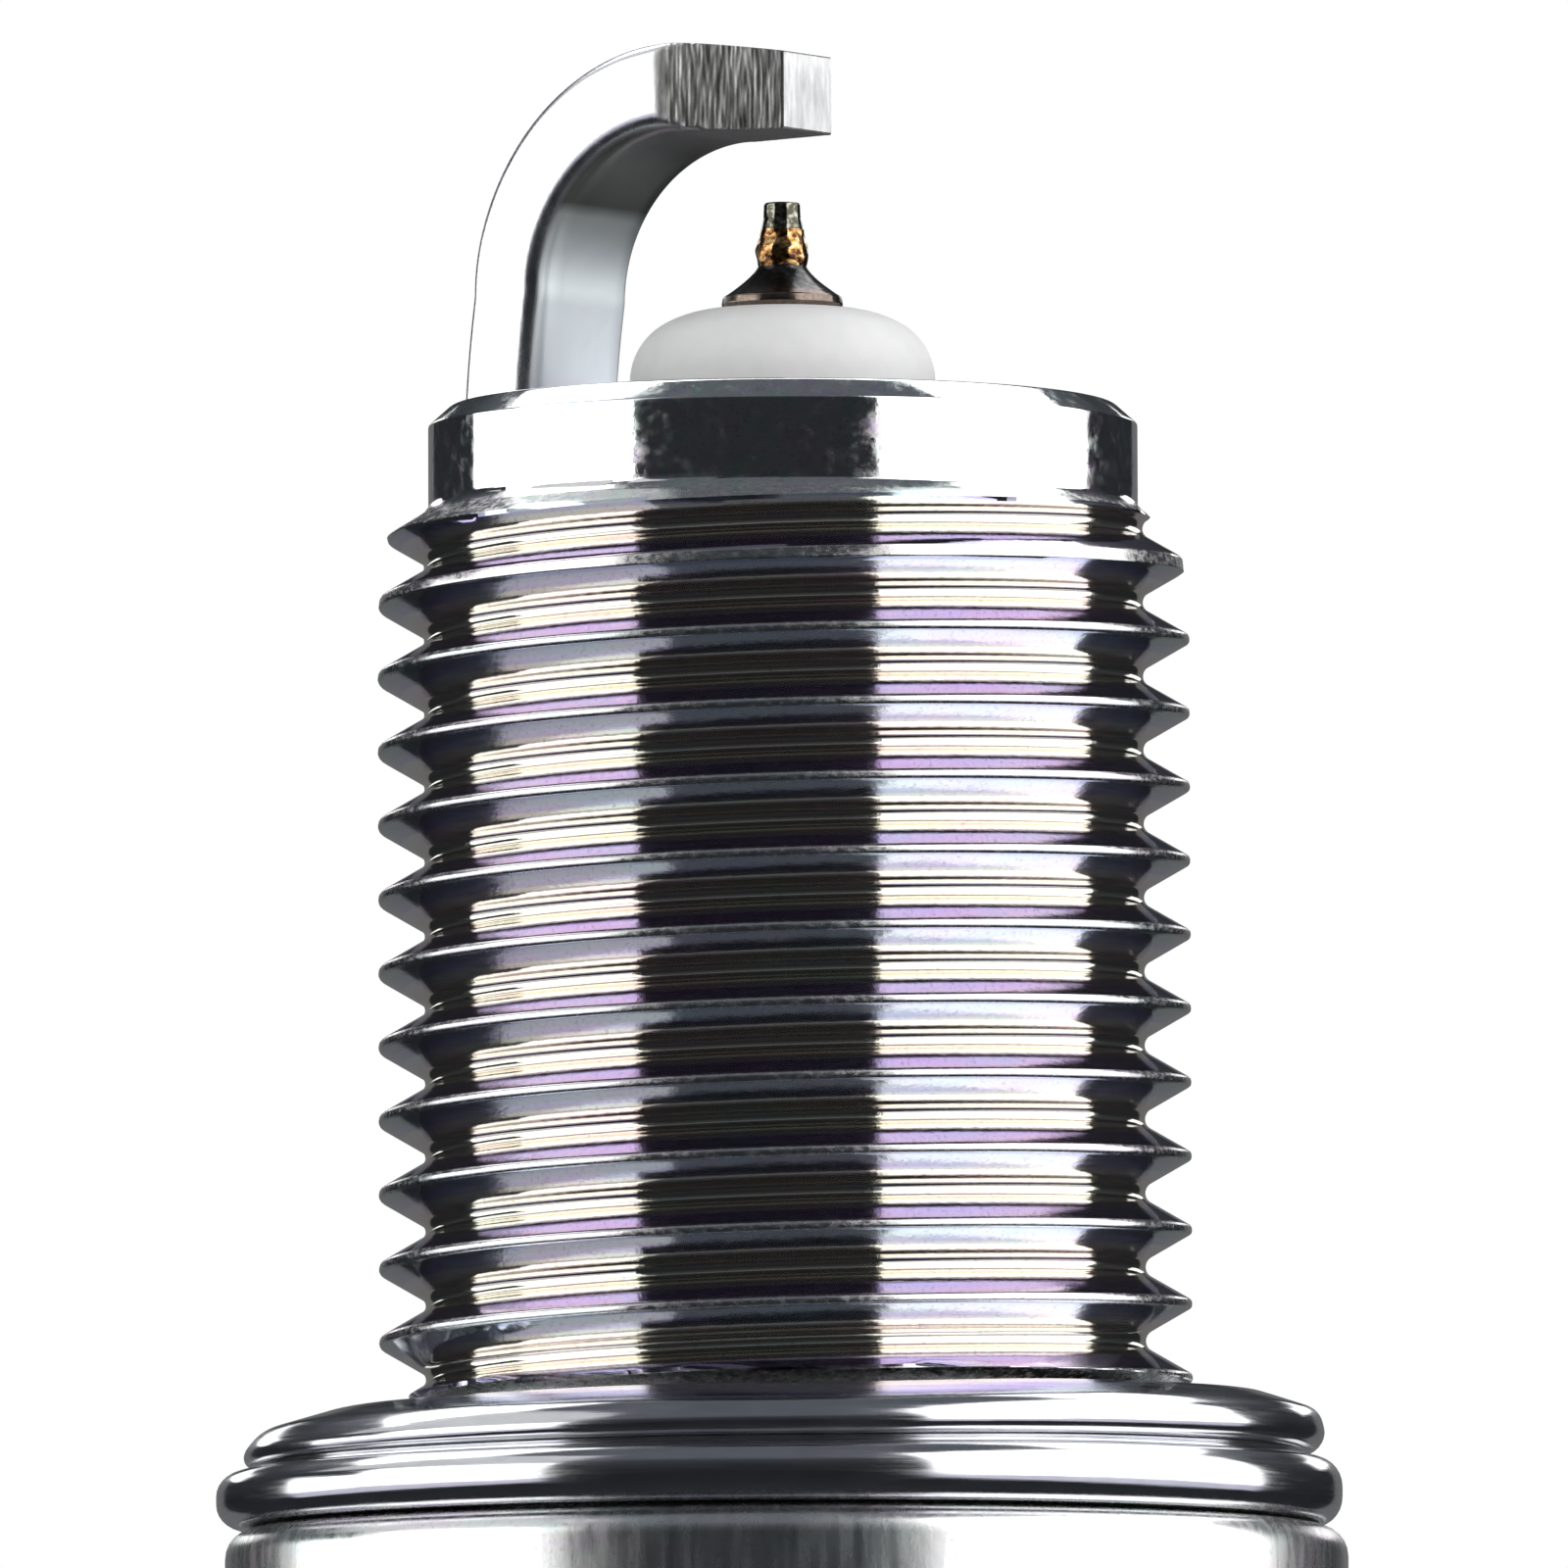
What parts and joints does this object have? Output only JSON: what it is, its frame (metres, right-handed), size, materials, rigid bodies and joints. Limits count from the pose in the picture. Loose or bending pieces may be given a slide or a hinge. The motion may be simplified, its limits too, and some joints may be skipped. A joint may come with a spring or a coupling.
{
  "type": "spark plug",
  "caption": "Long-reach gasket-seat spark plug with fine-wire centre electrode, bent ground electrode, ribbed insulator and screw-off terminal nut.",
  "frame": {"origin": "centre of the shell's gasket seat, on the thread's axis", "axes": "+Z along the plug's axis from the terminal to the firing end; +X across two opposite hexagon flats"},
  "size_m": [0.019, 0.019, 0.0756],
  "materials": {
    "nickel_plate": "bright nickel plate",
    "gasket_steel": "bright plated strip",
    "alumina": "fired alumina, glazed behind the shell, matt at the nose",
    "packing_steel": "annealed steel",
    "talc": "pressed powder",
    "electrode_alloy": "heat-tinted nickel alloy",
    "copper": "bare copper",
    "weld_zone": "laser-welded, straw heat tint",
    "noble_tip": "satin noble metal",
    "seal_glass": "copper-filled glass",
    "resistor_glass": "carbon-filled glass",
    "stud_steel": "plated steel",
    "nut_plate": "bright plate",
    "strap_nickel": "drawn nickel alloy, sheared at the trimmed sides",
    "strap_weld": "weld flash"
  },
  "bodies": {
    "root": {"shell": "nickel_plate", "insulator": "alumina", "seat_packing_washer": "packing_steel", "front_packing_ring": "packing_steel", "talc_packing": "talc", "rear_packing_ring": "packing_steel", "centre_electrode": "electrode_alloy", "electrode_copper_core": "copper", "tip_weld": "weld_zone", "firing_tip": "noble_tip", "front_glass_seal": "seal_glass", "resistor": "resistor_glass", "rear_glass_seal": "seal_glass", "terminal_stud": "stud_steel", "ground_electrode": "strap_nickel", "ground_electrode_weld": "strap_weld"},
    "gasket": {"gasket": "gasket_steel"},
    "terminal_nut": {"terminal_nut": "nut_plate"}
  },
  "joints": [
    {"name": "gasket_float", "type": "slide", "parent": "root", "child": "gasket", "axis": [0, 0, 1], "range_m": [0, 0.00025]},
    {"name": "terminal_nut_unscrew", "type": "slide", "parent": "root", "child": "terminal_nut", "axis": [0, 0, -1], "range_m": [0, 0.0075]}
  ]
}
